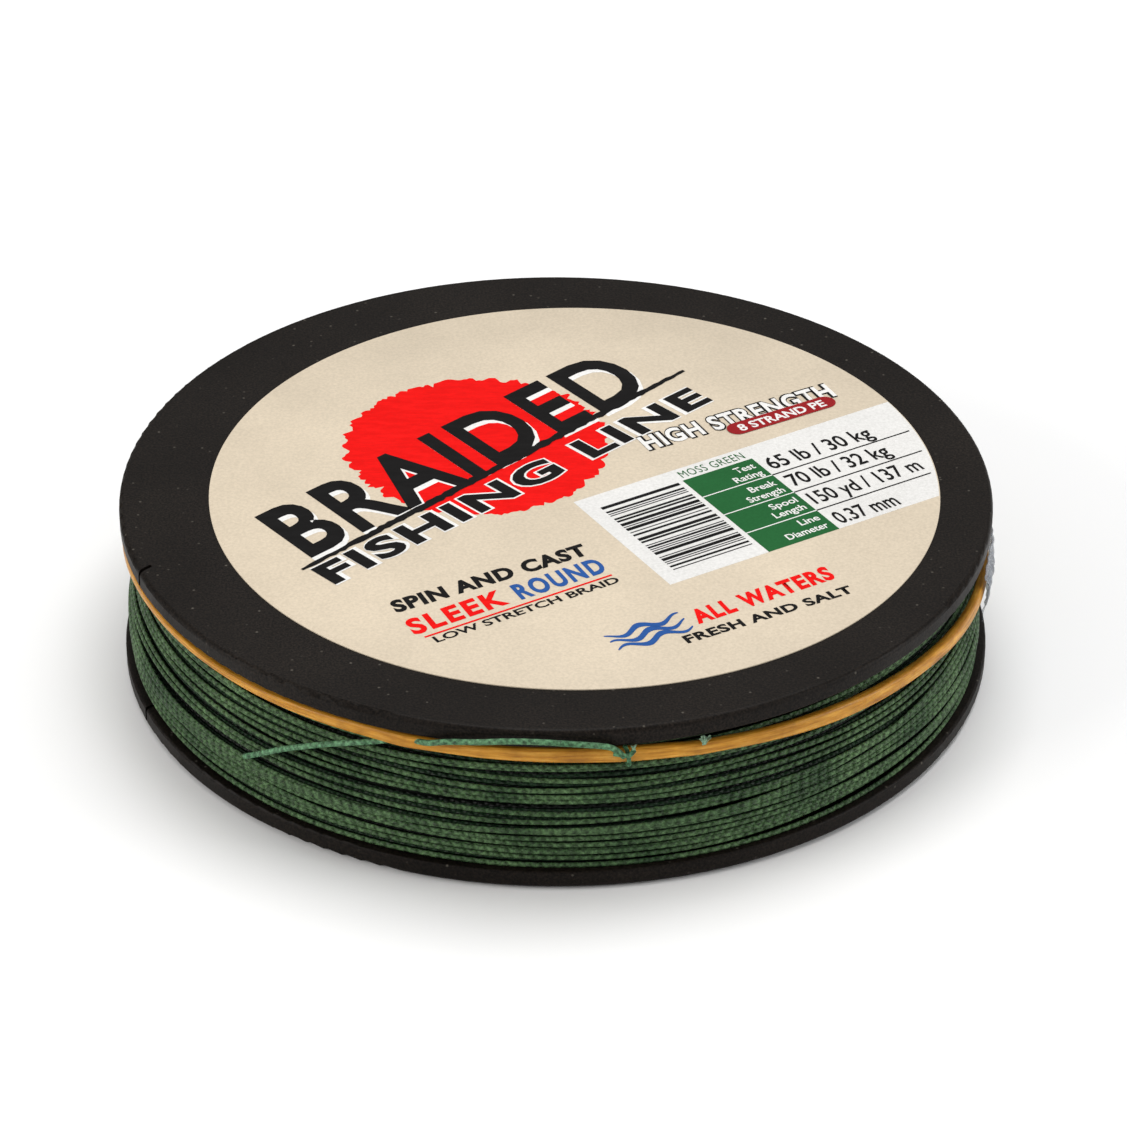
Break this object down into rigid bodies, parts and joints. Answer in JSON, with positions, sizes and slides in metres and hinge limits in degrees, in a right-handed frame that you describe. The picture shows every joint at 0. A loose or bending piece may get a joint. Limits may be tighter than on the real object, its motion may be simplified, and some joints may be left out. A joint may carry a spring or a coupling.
{
  "type": "fishing line spool",
  "caption": "Flat round spool with two thin flanges on a drum, wound with braided line, its free end held by a rubber band round the winding.",
  "frame": {"origin": "centre of the axle bore's mouth, in the plane the lower flange stands on", "axes": "+Z along the spool's axis, from the open end of the bore towards the labelled flange; -Y towards the side where the line's free end is hitched"},
  "size_m": [0.076, 0.0768, 0.0157],
  "materials": {
    "black_plastic": "matt moulded",
    "label_paper": "smooth printed paper",
    "anchor_film": "adhesive tape",
    "braided_line": "tight braid",
    "band_rubber": "stretched natural rubber",
    "clear_film": "clear adhesive tape"
  },
  "bodies": {
    "spool": {"upper_flange": "black_plastic", "lower_flange": "black_plastic", "core_drum": "black_plastic", "front_label": "label_paper", "anchor_tape": "anchor_film", "line_pack": "braided_line"},
    "keeper_band": {"rubber_band": "band_rubber", "clear_tape": "clear_film", "line_tail": "braided_line", "line_knot": "braided_line", "line_tag": "braided_line"}
  },
  "joints": [
    {"name": "band_turn", "type": "hinge", "parent": "spool", "child": "keeper_band", "pos_m": [0, 0, 0.0115], "axis": [0, 0, 1], "continuous": true}
  ]
}
